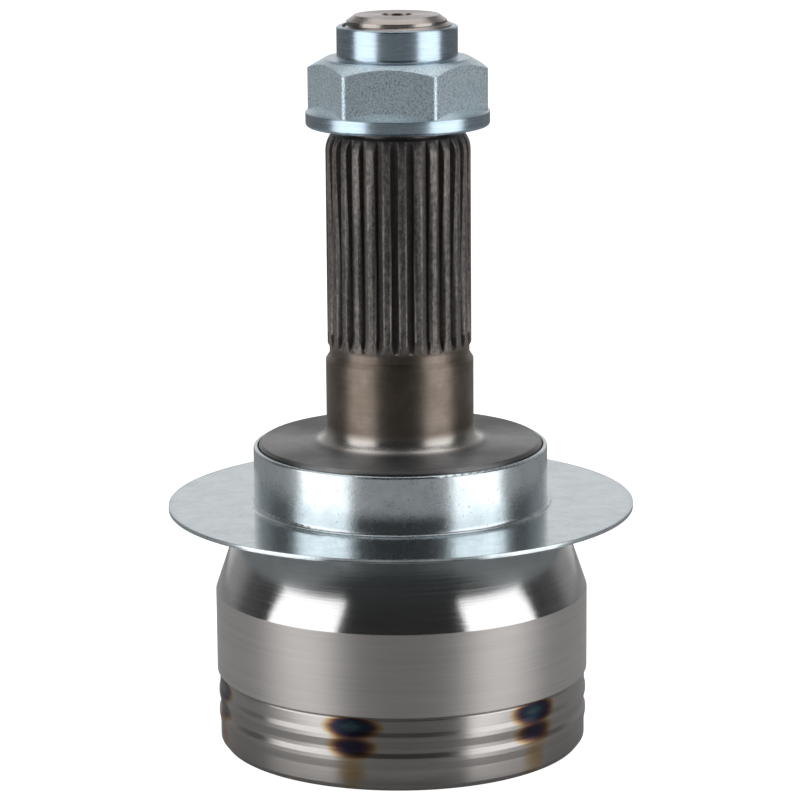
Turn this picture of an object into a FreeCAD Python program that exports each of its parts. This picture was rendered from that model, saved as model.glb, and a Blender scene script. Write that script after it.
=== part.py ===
import FreeCAD, Part
import math
import os
import Sketcher

# Fixed-centre (Rzeppa) outer constant-velocity joint, millimetres.
# It stands on the open mouth of its bell: +Z runs up the stub axle, and Z = 0 is the mouth's rim.

SIZES = [
    # Bell of the outer race, from the mouth upwards
    ("bell_radius", 38.4),
    ("mouth_bevel_width", 0.85),
    ("mouth_bevel_height", 1.1),
    ("boot_seat_radius", 37.87),
    ("boot_ridge_radius", 38.15),
    ("boot_ridge_height", 6.5),
    ("boot_ridge_pitch", 4.35),
    ("boot_ridge_width", 0.9),
    ("boot_ridge_taper", 1.7),
    ("boot_ridge_flank", 0.95),
    ("lower_groove_radius", 37.76),
    ("upper_groove_radius", 37.9),
    ("upper_groove_top", 14.6),
    ("boot_relief_depth", 0.1),
    ("boot_relief_rise", 0.3),
    ("bell_wall_lead", 0.6),
    ("bell_wall_top", 32.5),
    ("bell_cone_angle", 18.8),
    ("bell_height", 49.6),
    ("shoulder_radius", 29.4),
    ("shoulder_height", 13.7),
    ("shoulder_bevel", 0.7),
    # Stub axle
    ("seat_radius", 15.1),
    ("seat_fillet", 4.0),
    ("seat_length", 17.2),
    ("neck_radius", 14.3),
    ("neck_bevel_height", 1.3),
    ("neck_length", 2.7),
    ("spline_tip_radius", 14.7),
    ("spline_tooth_depth", 1.3),
    ("spline_lead_height", 0.7),
    ("spline_run_out_length", 3.8),
    ("spline_length", 43.5),
    ("spline_top_lead_height", 3.3),
    ("spline_top_lead_depth", 1.15),
    ("spline_teeth", 28),
    ("spline_gap_tip_width", 1.85),
    ("spline_gap_root_width", 0.9),
    ("spline_cutter_radius", 5.0),
    ("spline_phase", 8.1),
    ("thread_radius", 11.0),
    ("stub_bevel_height", 1.7),
    ("stub_end_radius", 8.7),
    ("thread_length", 23.9),
    ("centre_drill_radius", 3.1),
    ("centre_drill_pilot_radius", 1.25),
    ("centre_drill_depth", 6.5),
    ("centre_drill_half_angle", 30.0),
    # Joint inside the bell
    ("joint_height", 17.0),
    ("track_count", 6),
    ("ball_radius", 7.9375),
    ("ball_circle_radius", 27.0),
    ("track_offset", 2.3),
    ("track_clearance", 0.12),
    ("track_mouth_angle", 60.0),
    ("track_end_angle", 50.0),
    ("cage_outer_radius", 30.4),
    ("cage_inner_radius", 25.4),
    ("cage_half_height", 13.0),
    ("cage_entry_radius", 23.0),
    ("cage_clearance", 0.05),
    ("window_side_clearance", 0.18),
    ("window_length", 18.8),
    ("window_corner", 3.0),
    ("mouth_lip", 1.25),
    ("mouth_chamfer", 4.8),
    ("cavity_floor", 43.5),
    ("inner_race_half_height", 11.0),
    ("shaft_minor_radius", 11.0),
    ("shaft_major_radius", 12.0),
    ("shaft_teeth", 24),
    ("shaft_gap_minor_width", 1.7),
    ("shaft_gap_major_width", 1.0),
    ("shaft_entry_bevel", 0.8),
    ("snap_ring_height", 6.5),
    ("snap_ring_radius", 12.45),
    ("snap_ring_wire_radius", 1.0),
    ("snap_ring_gap_angle", 60.0),
    ("snap_ring_clearance", 0.1),
    # Dust shield pressed on the shoulder
    ("shield_radius", 47.85),
    ("shield_thickness", 0.8),
    ("shield_collar_height", 12.9),
    ("shield_bend_radius", 1.0),
    ("shield_lip_round", 0.5),
    # Axle nut, screwed down until it stands just clear of the spline
    ("nut_spline_gap", 1.6),
    ("nut_phase", 9.4),
    ("nut_thread_clearance", 0.05),
    ("nut_entry_bevel", 0.8),
    ("nut_across_flats", 32.0),
    ("nut_corner_round", 1.4),
    ("nut_flange_radius", 18.62),
    ("nut_flange_height", 2.9),
    ("nut_flange_round", 0.7),
    ("nut_flange_slope", 30.0),
    ("nut_hex_top", 13.7),
    ("nut_chamfer_radius", 14.6),
    ("nut_chamfer_slope", 30.0),
    ("nut_collar_wall", 1.15),
    ("nut_collar_fillet", 0.6),
    ("nut_collar_top", 20.1),
    ("nut_collar_round", 0.4),
    # How far a cutting profile runs past the surface it cuts
    ("overcut", 1.0),
]

FULL_TURN = 360.0
QUARTER_TURN = 90.0
HEX_SIDES = 6


class Term:
    """A number together with the spreadsheet expression that gives it."""

    def __init__(self, value, text=None):
        self.value = float(value)
        self.text = text or repr(float(value))

    def __add__(self, other):
        other = as_term(other)
        return Term(self.value + other.value, f"({self.text} + {other.text})")

    def __sub__(self, other):
        other = as_term(other)
        return Term(self.value - other.value, f"({self.text} - {other.text})")

    def __mul__(self, other):
        other = as_term(other)
        return Term(self.value * other.value, f"({self.text} * {other.text})")

    def __truediv__(self, other):
        other = as_term(other)
        return Term(self.value / other.value, f"({self.text} / {other.text})")

    def __neg__(self):
        return Term(-self.value, f"(-1 * {self.text})")


def as_term(value):
    return value if isinstance(value, Term) else Term(value)


def root(term):
    return Term(math.sqrt(term.value), f"sqrt({term.text})")


def leg(hypotenuse, other_leg):
    """The remaining side of a right triangle: a sphere's radius at a given height, for one."""
    return root(hypotenuse * hypotenuse - other_leg * other_leg)


def sine(term):
    return Term(math.sin(math.radians(term.value)), f"sin({term.text})")


def cosine(term):
    return Term(math.cos(math.radians(term.value)), f"cos({term.text})")


def tangent(term):
    return Term(math.tan(math.radians(term.value)), f"tan({term.text})")


class Sizes:
    """The driving dimensions: each one is a cell of the spreadsheet and a Term here."""

    def __init__(self, document, rows):
        self.sheet = document.addObject("Spreadsheet::Sheet", "Sizes")
        for row, (name, value) in enumerate(rows, start=1):
            self.sheet.set(f"A{row}", name)
            self.sheet.set(f"B{row}", str(value))
            self.sheet.setAlias(f"B{row}", name)
            setattr(self, name, Term(value, f"Sizes.{name}"))
        document.recompute()


doc = FreeCAD.newDocument("cv_joint")
size = Sizes(doc, SIZES)
ZERO = Term(0)


# ---------------------------------------------------------------- sketch and feature helpers

def new_body(name, height=None, turn=None):
    """A body whose label names its file, lifted and turned about Z by sheet values."""
    body = doc.addObject("PartDesign::Body", name)
    body.Label = name
    if height is not None:
        body.setExpression("Placement.Base.z", height.text)
    if turn is not None:
        body.setExpression("Placement.Rotation.Angle", turn.text)
    return body


def new_sketch(body, name, role, lift=None, turn=None, reach=None):
    """A sketch on one of the body's origin planes, lifted, turned and moved out as asked."""
    plane = next(item for item in body.Origin.OriginFeatures if item.Role == role)
    sketch = body.newObject("Sketcher::SketchObject", name)
    sketch.AttachmentSupport = [(plane, "")]
    sketch.MapMode = "FlatFace"
    if lift is not None:
        sketch.setExpression("AttachmentOffset.Base.z", lift.text)
    if turn is not None:
        sketch.setExpression("AttachmentOffset.Rotation.Angle", turn.text)
    if reach is not None:
        sketch.setExpression("AttachmentOffset.Base.x", (reach * cosine(turn)).text)
        sketch.setExpression("AttachmentOffset.Base.y", (reach * sine(turn)).text)
    return sketch


def bind(sketch, kind, *arguments, term):
    """Adds one dimension to the sketch and ties it to the sheet."""
    index = sketch.addConstraint(Sketcher.Constraint(kind, *arguments, term.value))
    sketch.setExpression(f"Constraints[{index}]", term.text)


def pin_point(sketch, edge, end, x, y):
    """Fixes a point of the sketch: on an axis where its coordinate is zero, else by distance."""
    origin, origin_point, horizontal_axis, vertical_axis = -1, 1, -1, -2
    if x is ZERO:
        sketch.addConstraint(Sketcher.Constraint("PointOnObject", edge, end, vertical_axis))
    else:
        bind(sketch, "DistanceX", origin, origin_point, edge, end, term=x)
    if y is ZERO:
        sketch.addConstraint(Sketcher.Constraint("PointOnObject", edge, end, horizontal_axis))
    else:
        bind(sketch, "DistanceY", origin, origin_point, edge, end, term=y)


def arc_between(start, end, radius, centre_on_left):
    """The short circular arc from start to end with its centre on the side asked for."""
    chord = end - start
    half = chord.Length / 2
    reach = math.sqrt(max(radius * radius - half * half, 0.0))
    left = FreeCAD.Vector(-chord.y, chord.x, 0).normalize()
    centre = start + chord * 0.5 + left * (reach if centre_on_left else -reach)
    first, last = (start, end) if centre_on_left else (end, start)
    from_angle = math.atan2(first.y - centre.y, first.x - centre.x)
    to_angle = math.atan2(last.y - centre.y, last.x - centre.x)
    circle = Part.Circle(centre, FreeCAD.Vector(0, 0, 1), radius)
    return Part.ArcOfCircle(circle, from_angle, to_angle)


def outline(sketch, corners):
    """A closed outline. A corner is (x, y), or (x, y, radius, centre_on_left) where an arc leads to it."""
    points = [FreeCAD.Vector(corner[0].value, corner[1].value, 0) for corner in corners]
    ends = []
    for index, corner in enumerate(corners):
        start, end = points[index - 1], points[index]
        if len(corner) == 2:
            edge = sketch.addGeometry(Part.LineSegment(start, end), False)
            ends.append((edge, 1, 2))
            continue
        x, y, radius, centre_on_left = corner
        edge = sketch.addGeometry(arc_between(start, end, radius.value, centre_on_left), False)
        bind(sketch, "Radius", edge, term=radius)
        ends.append((edge, 1, 2) if centre_on_left else (edge, 2, 1))
    for index, corner in enumerate(corners):
        edge, first, last = ends[index]
        next_edge, next_first, next_last = ends[(index + 1) % len(corners)]
        sketch.addConstraint(Sketcher.Constraint("Coincident", edge, last, next_edge, next_first))
        pin_point(sketch, edge, last, corner[0], corner[1])


def round_outline(sketch, x, y, radius):
    """A circle."""
    circle = Part.Circle(FreeCAD.Vector(x.value, y.value, 0), FreeCAD.Vector(0, 0, 1), radius.value)
    edge = sketch.addGeometry(circle, False)
    pin_point(sketch, edge, 3, x, y)
    bind(sketch, "Radius", edge, term=radius)


def turned(body, name, sketch, angle=None):
    """Material turned about the sketch's upright axis."""
    feature = body.newObject("PartDesign::Revolution", name)
    feature.Profile = sketch
    feature.ReferenceAxis = (sketch, ["V_Axis"])
    feature.Angle = FULL_TURN
    if angle is not None:
        feature.setExpression("Angle", angle.text)
    return feature


def turned_cut(body, name, sketch, up_angle=None, down_angle=None):
    """A cut turned about the sketch's upright axis, all round or through two angles."""
    feature = body.newObject("PartDesign::Groove", name)
    feature.Profile = sketch
    feature.ReferenceAxis = (sketch, ["V_Axis"])
    feature.Angle = FULL_TURN
    if up_angle is not None:
        feature.Type = "TwoAngles"
        feature.setExpression("Angle", down_angle.text)
        feature.setExpression("Angle2", up_angle.text)
    return feature


def pocket(body, name, sketch, length=None, reverse=False):
    """A straight cut off the sketch, right through unless it is given a length."""
    feature = body.newObject("PartDesign::Pocket", name)
    feature.Profile = sketch
    feature.Reversed = reverse
    feature.Type = "ThroughAll" if length is None else "Length"
    if length is not None:
        feature.setExpression("Length", length.text)
    return feature


def around(body, name, features, count):
    """Repeats features evenly about the body's Z axis."""
    axis = next(item for item in body.Origin.OriginFeatures if item.Role == "Z_Axis")
    pattern = body.newObject("PartDesign::PolarPattern", name)
    pattern.Originals = features
    pattern.Axis = (axis, [""])
    pattern.Angle = FULL_TURN
    pattern.setExpression("Occurrences", count.text)
    body.Tip = pattern
    return pattern


# ---------------------------------------------------------------- sizes shared between pieces

# Each height follows from the one below it, and each radius from what it fits
boot_relief_height = size.upper_groove_top + size.boot_relief_rise
bell_wall_bottom = boot_relief_height + size.bell_wall_lead
shoulder_top = size.bell_height + size.shoulder_height
seat_top = shoulder_top + size.seat_length
neck_top = seat_top + size.neck_length
spline_full_height = neck_top + size.spline_run_out_length
spline_top = neck_top + size.spline_length
stub_top = spline_top + size.thread_length
spline_root_radius = size.spline_tip_radius - size.spline_tooth_depth
bore_sphere_radius = size.cage_outer_radius + size.cage_clearance
mouth_radius = bore_sphere_radius - size.mouth_lip
inner_race_radius = size.cage_inner_radius - size.cage_clearance
nut_bore_radius = size.thread_radius + size.nut_thread_clearance
nut_collar_radius = nut_bore_radius + size.nut_collar_wall

track_path_radius = root(size.ball_circle_radius * size.ball_circle_radius
                         + size.track_offset * size.track_offset)
track_radius = size.ball_radius + size.track_clearance


# ---------------------------------------------------------------- outer race

def outer_race():
    """One forging: the bell with its ball tracks, the shoulder and the splined stub axle."""
    body = new_body("outer_race")
    shape = turned(body, "race_forging", outer_race_profile(body))
    body.Tip = shape
    cavity = turned_cut(body, "race_cavity", cavity_profile(body))
    drill = turned_cut(body, "centre_drill", centre_drill_profile(body))
    body.Tip = drill
    track = new_sketch(body, "track_section", "XY_Plane", lift=size.joint_height - size.track_offset)
    round_outline(track, track_path_radius, ZERO, track_radius)
    first_track = turned_cut(body, "first_track", track, size.track_end_angle, size.track_mouth_angle)
    around(body, "ball_tracks", [first_track], size.track_count)
    gap, run_out = spline_gap(body)
    around(body, "hub_spline", [gap, run_out], size.spline_teeth)
    return body


def outer_race_profile(body):
    """Half section of the forging's outside, from the mouth up to the stub's end."""
    s = size
    crest_half = s.boot_ridge_width / 2
    upper_ridge = s.boot_ridge_height + s.boot_ridge_pitch
    lead_height, lead_depth = s.spline_top_lead_height, s.spline_top_lead_depth
    lead_arc = (lead_height * lead_height + lead_depth * lead_depth) / (lead_depth * 2)
    cone_top_radius = s.bell_radius - (s.bell_height - s.bell_wall_top) * tangent(s.bell_cone_angle)
    corners = [
        (ZERO, ZERO),
        (s.boot_seat_radius - s.mouth_bevel_width, ZERO),
        (s.boot_seat_radius, s.mouth_bevel_height),
        (s.boot_seat_radius, s.boot_ridge_height - crest_half - s.boot_ridge_taper),
        (s.boot_ridge_radius, s.boot_ridge_height - crest_half),
        (s.boot_ridge_radius, s.boot_ridge_height + crest_half),
        (s.lower_groove_radius, s.boot_ridge_height + crest_half + s.boot_ridge_flank),
        (s.lower_groove_radius, upper_ridge - crest_half - s.boot_ridge_taper),
        (s.boot_ridge_radius, upper_ridge - crest_half),
        (s.boot_ridge_radius, upper_ridge + crest_half),
        (s.upper_groove_radius, upper_ridge + crest_half + s.boot_ridge_flank),
        (s.upper_groove_radius, s.upper_groove_top),
        (s.upper_groove_radius - s.boot_relief_depth, boot_relief_height),
        (s.bell_radius, bell_wall_bottom),
        (s.bell_radius, s.bell_wall_top),
        (cone_top_radius, s.bell_height),
        (s.shoulder_radius, s.bell_height),
        (s.shoulder_radius, shoulder_top - s.shoulder_bevel),
        (s.shoulder_radius - s.shoulder_bevel, shoulder_top),
        (s.seat_radius + s.seat_fillet, shoulder_top),
        (s.seat_radius, shoulder_top + s.seat_fillet, s.seat_fillet, False),
        (s.seat_radius, seat_top),
        (s.neck_radius, seat_top + s.neck_bevel_height),
        (s.neck_radius, neck_top),
        (s.spline_tip_radius, neck_top + s.spline_lead_height),
        (s.spline_tip_radius, spline_top - lead_height),
        (s.spline_tip_radius - lead_depth, spline_top, lead_arc, True),
        (s.thread_radius, spline_top),
        (s.thread_radius, stub_top - s.stub_bevel_height),
        (s.stub_end_radius, stub_top),
        (ZERO, stub_top),
    ]
    sketch = new_sketch(body, "race_section", "XZ_Plane")
    outline(sketch, corners)
    return sketch


def cavity_profile(body):
    """Half section of the bell's inside: lead-in, mouth and the sphere that guides the cage."""
    s = size
    floor_rise = s.cavity_floor - s.joint_height
    sphere_start = s.joint_height - leg(bore_sphere_radius, mouth_radius)
    corners = [
        (ZERO, -s.overcut),
        (mouth_radius + s.mouth_chamfer + s.overcut, -s.overcut),
        (mouth_radius, s.mouth_chamfer),
        (mouth_radius, sphere_start),
        (leg(bore_sphere_radius, floor_rise), s.cavity_floor, bore_sphere_radius, True),
        (ZERO, s.cavity_floor),
    ]
    sketch = new_sketch(body, "cavity_section", "XZ_Plane")
    outline(sketch, corners)
    return sketch


def centre_drill_profile(body):
    """Half section of the 60-degree centre hole in the stub's end, with its pilot."""
    s = size
    slope = tangent(s.centre_drill_half_angle)
    cone_depth = (s.centre_drill_radius - s.centre_drill_pilot_radius) / slope
    corners = [
        (ZERO, stub_top + s.overcut),
        (ZERO, stub_top - s.centre_drill_depth),
        (s.centre_drill_pilot_radius, stub_top - s.centre_drill_depth),
        (s.centre_drill_pilot_radius, stub_top - cone_depth),
        (s.centre_drill_radius + s.overcut * slope, stub_top + s.overcut),
    ]
    sketch = new_sketch(body, "centre_drill_section", "XZ_Plane")
    outline(sketch, corners)
    return sketch


def gap_corners(root_radius, tip_radius, root_width, tip_width, past_tip, shift):
    """A spline gap across its axis, run past the tooth tips so that it always breaks out."""
    slope = (tip_width - root_width) / 2 / (tip_radius - root_radius)
    outer_half = tip_width / 2 + slope * past_tip
    outer = tip_radius + past_tip - shift
    return [
        (root_radius - shift, -(root_width / 2)),
        (outer, -outer_half),
        (outer, outer_half),
        (root_radius - shift, root_width / 2),
    ]


def spline_gap(body):
    """One gap of the hub spline: the straight cut, and the arc where the cutter leaves the stub."""
    s = size
    corners = (spline_root_radius, s.spline_tip_radius, s.spline_gap_root_width, s.spline_gap_tip_width,
               s.overcut)
    straight = new_sketch(body, "gap_section", "XY_Plane", lift=spline_full_height, turn=s.spline_phase)
    outline(straight, gap_corners(*corners, ZERO))
    length = spline_top - spline_full_height + s.overcut
    gap = pocket(body, "first_gap", straight, length, reverse=True)
    cutter_axis = spline_root_radius + s.spline_cutter_radius
    swept = new_sketch(body, "run_out_section", "XY_Plane", lift=spline_full_height,
                       turn=s.spline_phase, reach=cutter_axis)
    outline(swept, gap_corners(*corners, cutter_axis))
    run_out = turned_cut(body, "first_run_out", swept)
    run_out.Angle = QUARTER_TURN
    run_out.Reversed = True
    return gap, run_out


# ---------------------------------------------------------------- inner race, cage, balls, snap ring

def inner_race():
    """The star: a spherical ring with six ball tracks, splined for the drive shaft."""
    s = size
    body = new_body("inner_race", height=s.joint_height)
    end_radius = leg(inner_race_radius, s.inner_race_half_height)
    blank = new_sketch(body, "star_section", "XZ_Plane")
    outline(blank, [
        (s.shaft_minor_radius + s.shaft_entry_bevel, -s.inner_race_half_height),
        (end_radius, -s.inner_race_half_height),
        (end_radius, s.inner_race_half_height, inner_race_radius, True),
        (s.shaft_minor_radius + s.shaft_entry_bevel, s.inner_race_half_height),
        (s.shaft_minor_radius, s.inner_race_half_height - s.shaft_entry_bevel),
        (s.shaft_minor_radius, s.shaft_entry_bevel - s.inner_race_half_height),
    ])
    body.Tip = turned(body, "star_blank", blank)
    ring_half = s.snap_ring_wire_radius + s.snap_ring_clearance
    ring_seat = new_sketch(body, "ring_seat_section", "XZ_Plane")
    seat_radius = s.snap_ring_radius + ring_half
    outline(ring_seat, [
        (s.shaft_minor_radius - s.overcut, s.snap_ring_height - ring_half),
        (seat_radius, s.snap_ring_height - ring_half),
        (seat_radius, s.snap_ring_height + ring_half),
        (s.shaft_minor_radius - s.overcut, s.snap_ring_height + ring_half),
    ])
    body.Tip = turned_cut(body, "ring_seat", ring_seat)
    track = new_sketch(body, "star_track_section", "XY_Plane", lift=s.track_offset)
    round_outline(track, track_path_radius, ZERO, track_radius)
    first_track = turned_cut(body, "first_star_track", track, s.track_mouth_angle, s.track_mouth_angle)
    around(body, "star_tracks", [first_track], s.track_count)
    gap_sketch = new_sketch(body, "shaft_gap_section", "XY_Plane", lift=-s.inner_race_half_height)
    outline(gap_sketch, gap_corners(s.shaft_major_radius, s.shaft_minor_radius, s.shaft_gap_major_width,
                                    s.shaft_gap_minor_width, -s.overcut, ZERO))
    gap = pocket(body, "first_shaft_gap", gap_sketch, s.inner_race_half_height * 2, reverse=True)
    around(body, "shaft_spline", [gap], s.shaft_teeth)
    return body


def cage():
    """The ring between the two spheres, with a window that holds each ball in the middle plane."""
    s = size
    body = new_body("cage", height=s.joint_height)
    outer_end = leg(s.cage_outer_radius, s.cage_half_height)
    entry_depth = leg(s.cage_inner_radius, s.cage_entry_radius)
    ring = new_sketch(body, "cage_section", "XZ_Plane")
    outline(ring, [
        (s.cage_entry_radius, -s.cage_half_height),
        (outer_end, -s.cage_half_height),
        (outer_end, s.cage_half_height, s.cage_outer_radius, True),
        (s.cage_entry_radius, s.cage_half_height),
        (s.cage_entry_radius, entry_depth),
        (s.cage_entry_radius, -entry_depth, s.cage_inner_radius, False),
    ])
    body.Tip = turned(body, "cage_ring", ring)
    half_length = s.window_length / 2
    half_height = s.ball_radius + s.window_side_clearance
    corner = s.window_corner
    window = new_sketch(body, "window_section", "YZ_Plane")
    outline(window, [
        (half_length, half_height - corner),
        (half_length - corner, half_height, corner, True),
        (corner - half_length, half_height),
        (-half_length, half_height - corner, corner, True),
        (-half_length, corner - half_height),
        (corner - half_length, -half_height, corner, True),
        (half_length - corner, -half_height),
        (half_length, corner - half_height, corner, True),
    ])
    first_window = pocket(body, "first_window", window, s.cage_outer_radius + s.overcut, reverse=True)
    around(body, "windows", [first_window], s.track_count)
    return body


def balls():
    """One bearing ball to each pair of tracks."""
    made = []
    for index in range(int(size.track_count.value)):
        angle = Term(index) * FULL_TURN / size.track_count
        ball = doc.addObject("Part::Sphere", f"ball_{index + 1}")
        ball.Label = f"ball_{index + 1}"
        ball.setExpression("Radius", size.ball_radius.text)
        ball.setExpression("Placement.Base.x", (size.ball_circle_radius * cosine(angle)).text)
        ball.setExpression("Placement.Base.y", (size.ball_circle_radius * sine(angle)).text)
        ball.setExpression("Placement.Base.z", size.joint_height.text)
        made.append(ball)
    return made


def snap_ring():
    """The open wire ring in the inner race that springs into the drive shaft's groove."""
    s = size
    body = new_body("snap_ring", height=s.joint_height + s.snap_ring_height)
    wire = new_sketch(body, "wire_section", "XZ_Plane")
    round_outline(wire, s.snap_ring_radius, ZERO, s.snap_ring_wire_radius)
    body.Tip = turned(body, "wire_ring", wire, Term(FULL_TURN) - s.snap_ring_gap_angle)
    return body


# ---------------------------------------------------------------- dust shield and axle nut

def dust_shield():
    """Pressed sheet: a collar on the shoulder, bent out into a wide flat flange on the bell."""
    s = size
    body = new_body("dust_shield", height=s.bell_height)
    inner = s.shoulder_radius
    outer = s.shoulder_radius + s.shield_thickness
    outside_bend = s.shield_bend_radius + s.shield_thickness
    section = new_sketch(body, "shield_section", "XZ_Plane")
    outline(section, [
        (inner + outside_bend, ZERO, outside_bend, True),
        (s.shield_radius, ZERO),
        (s.shield_radius, s.shield_thickness),
        (outer + s.shield_bend_radius, s.shield_thickness),
        (outer, outside_bend, s.shield_bend_radius, False),
        (outer, s.shield_collar_height - s.shield_lip_round),
        (outer - s.shield_lip_round, s.shield_collar_height, s.shield_lip_round, True),
        (inner, s.shield_collar_height),
        (inner, outside_bend),
    ])
    body.Tip = turned(body, "pressed_sheet", section)
    return body


def axle_nut():
    """Flanged hexagon nut with the thin collar that is staked against the stub."""
    s = size
    seat_height = spline_top + s.nut_spline_gap
    body = new_body("axle_nut", height=seat_height, turn=s.nut_phase)
    half_side = FULL_TURN / HEX_SIDES / 2
    round_centre = (s.nut_across_flats / 2 - s.nut_corner_round) / cosine(Term(half_side))
    corner_radius = round_centre + s.nut_corner_round
    hexagon = new_sketch(body, "hexagon", "XY_Plane")
    corners = []
    for side in range(HEX_SIDES):
        middle = Term(half_side * (2 * side + 1))
        centre_x, centre_y = round_centre * cosine(middle), round_centre * sine(middle)
        start, end = middle - half_side, middle + half_side
        corners.append((centre_x + s.nut_corner_round * cosine(start),
                        centre_y + s.nut_corner_round * sine(start)))
        corners.append((centre_x + s.nut_corner_round * cosine(end),
                        centre_y + s.nut_corner_round * sine(end), s.nut_corner_round, True))
    outline(hexagon, corners)
    prism = body.newObject("PartDesign::Pad", "hexagon_prism")
    prism.Profile = hexagon
    prism.setExpression("Length", s.nut_hex_top.text)
    body.Tip = prism
    far = corner_radius + s.overcut
    chamfer = new_sketch(body, "corner_chamfer_section", "XZ_Plane")
    outline(chamfer, [
        (s.nut_chamfer_radius, s.nut_hex_top),
        (far, s.nut_hex_top - (far - s.nut_chamfer_radius) * tangent(s.nut_chamfer_slope)),
        (far, s.nut_hex_top + s.overcut),
        (s.nut_chamfer_radius, s.nut_hex_top + s.overcut),
    ])
    body.Tip = turned_cut(body, "corner_chamfer", chamfer)
    body.Tip = turned(body, "flange_and_collar", nut_profile(body))
    bore = new_sketch(body, "bore_circle", "XY_Plane")
    round_outline(bore, ZERO, ZERO, nut_bore_radius)
    body.Tip = pocket(body, "bore", bore, reverse=True)
    bevel = new_sketch(body, "entry_bevel_section", "XZ_Plane")
    outline(bevel, [
        (nut_bore_radius - s.overcut, ZERO),
        (nut_bore_radius + s.nut_entry_bevel, ZERO),
        (nut_bore_radius - s.overcut, s.nut_entry_bevel + s.overcut),
    ])
    body.Tip = turned_cut(body, "entry_bevel", bevel)
    return body


def nut_profile(body):
    """Half section of the nut's round parts: flange, sloping flange top, core and collar."""
    s = size
    core_radius = s.nut_chamfer_radius
    slope_rise = (s.nut_flange_radius - core_radius) * tangent(s.nut_flange_slope)
    sketch = new_sketch(body, "flange_and_collar_section", "XZ_Plane")
    outline(sketch, [
        (ZERO, ZERO),
        (s.nut_flange_radius - s.nut_flange_round, ZERO),
        (s.nut_flange_radius, s.nut_flange_round, s.nut_flange_round, True),
        (s.nut_flange_radius, s.nut_flange_height),
        (core_radius, s.nut_flange_height + slope_rise),
        (nut_collar_radius + s.nut_collar_fillet, s.nut_hex_top),
        (nut_collar_radius, s.nut_hex_top + s.nut_collar_fillet, s.nut_collar_fillet, False),
        (nut_collar_radius, s.nut_collar_top - s.nut_collar_round),
        (nut_collar_radius - s.nut_collar_round, s.nut_collar_top, s.nut_collar_round, True),
        (ZERO, s.nut_collar_top),
    ])
    return sketch


# ---------------------------------------------------------------- build, check and write

pieces = [outer_race(), dust_shield(), axle_nut(), inner_race(), cage(), *balls(), snap_ring()]
doc.recompute()

for item in doc.Objects:
    if "Invalid" in item.State or "Error" in item.State:
        raise RuntimeError(f"{item.Name} did not compute: {item.State}")

os.makedirs("parts", exist_ok=True)
for piece in pieces:
    if piece.Shape.isNull() or not piece.Shape.isValid() or len(piece.Shape.Solids) != 1:
        raise RuntimeError(f"{piece.Label} is not one valid solid")
    piece.Shape.exportStep(f"parts/{piece.Label}.step")
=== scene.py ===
import math
import bmesh
import bpy
from mathutils import Matrix, Vector


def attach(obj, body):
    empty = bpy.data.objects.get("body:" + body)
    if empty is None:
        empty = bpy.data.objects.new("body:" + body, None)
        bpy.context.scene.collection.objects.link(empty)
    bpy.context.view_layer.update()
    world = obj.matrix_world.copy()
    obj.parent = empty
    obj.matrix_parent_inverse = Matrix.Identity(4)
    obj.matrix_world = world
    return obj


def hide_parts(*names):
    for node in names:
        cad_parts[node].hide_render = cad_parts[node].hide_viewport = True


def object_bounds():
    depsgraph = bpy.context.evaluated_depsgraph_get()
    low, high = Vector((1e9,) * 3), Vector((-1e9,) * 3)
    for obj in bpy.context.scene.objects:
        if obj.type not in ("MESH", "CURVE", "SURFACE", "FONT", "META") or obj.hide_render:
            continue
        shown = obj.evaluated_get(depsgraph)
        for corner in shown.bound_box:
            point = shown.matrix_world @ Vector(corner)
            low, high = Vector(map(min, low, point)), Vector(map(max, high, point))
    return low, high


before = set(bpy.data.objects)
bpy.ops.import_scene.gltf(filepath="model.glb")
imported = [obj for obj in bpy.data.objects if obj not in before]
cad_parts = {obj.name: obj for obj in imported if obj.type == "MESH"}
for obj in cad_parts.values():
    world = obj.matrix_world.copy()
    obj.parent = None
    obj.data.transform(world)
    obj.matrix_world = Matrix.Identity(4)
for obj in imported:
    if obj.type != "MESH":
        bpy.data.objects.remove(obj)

cad_low, cad_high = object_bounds()


# ---------------------------------------------------------------- studio
# A pale bench between two tall soft boxes, with a lit panel overhead and a white wall behind.
# The camera stands a little above the dust shield and looks down on it.

CAMERA_AZIMUTH = math.radians(255.7)
CAMERA_DISTANCE = 0.6946
CAMERA_HEIGHT = 0.2231
CAMERA_PITCH = math.radians(12.31)
CAMERA_ROLL = math.radians(-0.457)
CAMERA_LENS = 156.0
SENSOR_WIDTH = 36.0

SOFTBOX_AZIMUTH = math.radians(64)
SOFTBOX_DISTANCE = 0.95
SOFTBOX_SIZE = (0.84, 1.4)
SOFTBOX_HEIGHT = 0.25
SOFTBOX_POWER = 6.0
PANEL_SIZE = (1.6, 1.0)
PANEL_HEIGHT = 1.3
PANEL_BEHIND = 0.35
PANEL_POWER = 6.5

# The room is brightest straight behind the joint and dim on the camera's side
WALL_LIGHT = [(0.0, 0.025), (0.42, 0.09), (0.62, 0.26), (0.78, 0.32), (0.88, 0.55), (0.95, 0.75)]
# A strip of light all round, a little below eye level. The stops run over one more than the rise
# of a direction, so 0 is straight down and 1 is level.
FLOOR_LIGHT = [(0.0, 0.02), (0.69, 0.03), (0.755, 0.62), (0.835, 0.62), (0.88, 0.0)]

BENCH_REACH = 9.0
BENCH_FRONT = 0.05
BENCH_GAP = 0.0001
BENCH_LIGHTNESS = 0.50
BENCH_ROUGHNESS = 0.8


def studio_point(azimuth, distance, height):
    """A point of the studio, from its direction seen from the stub's axis."""
    return Vector((distance * math.cos(azimuth), distance * math.sin(azimuth), height))


def add_to_scene(name, data):
    made = bpy.data.objects.new(name, data)
    bpy.context.scene.collection.objects.link(made)
    return made


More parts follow.
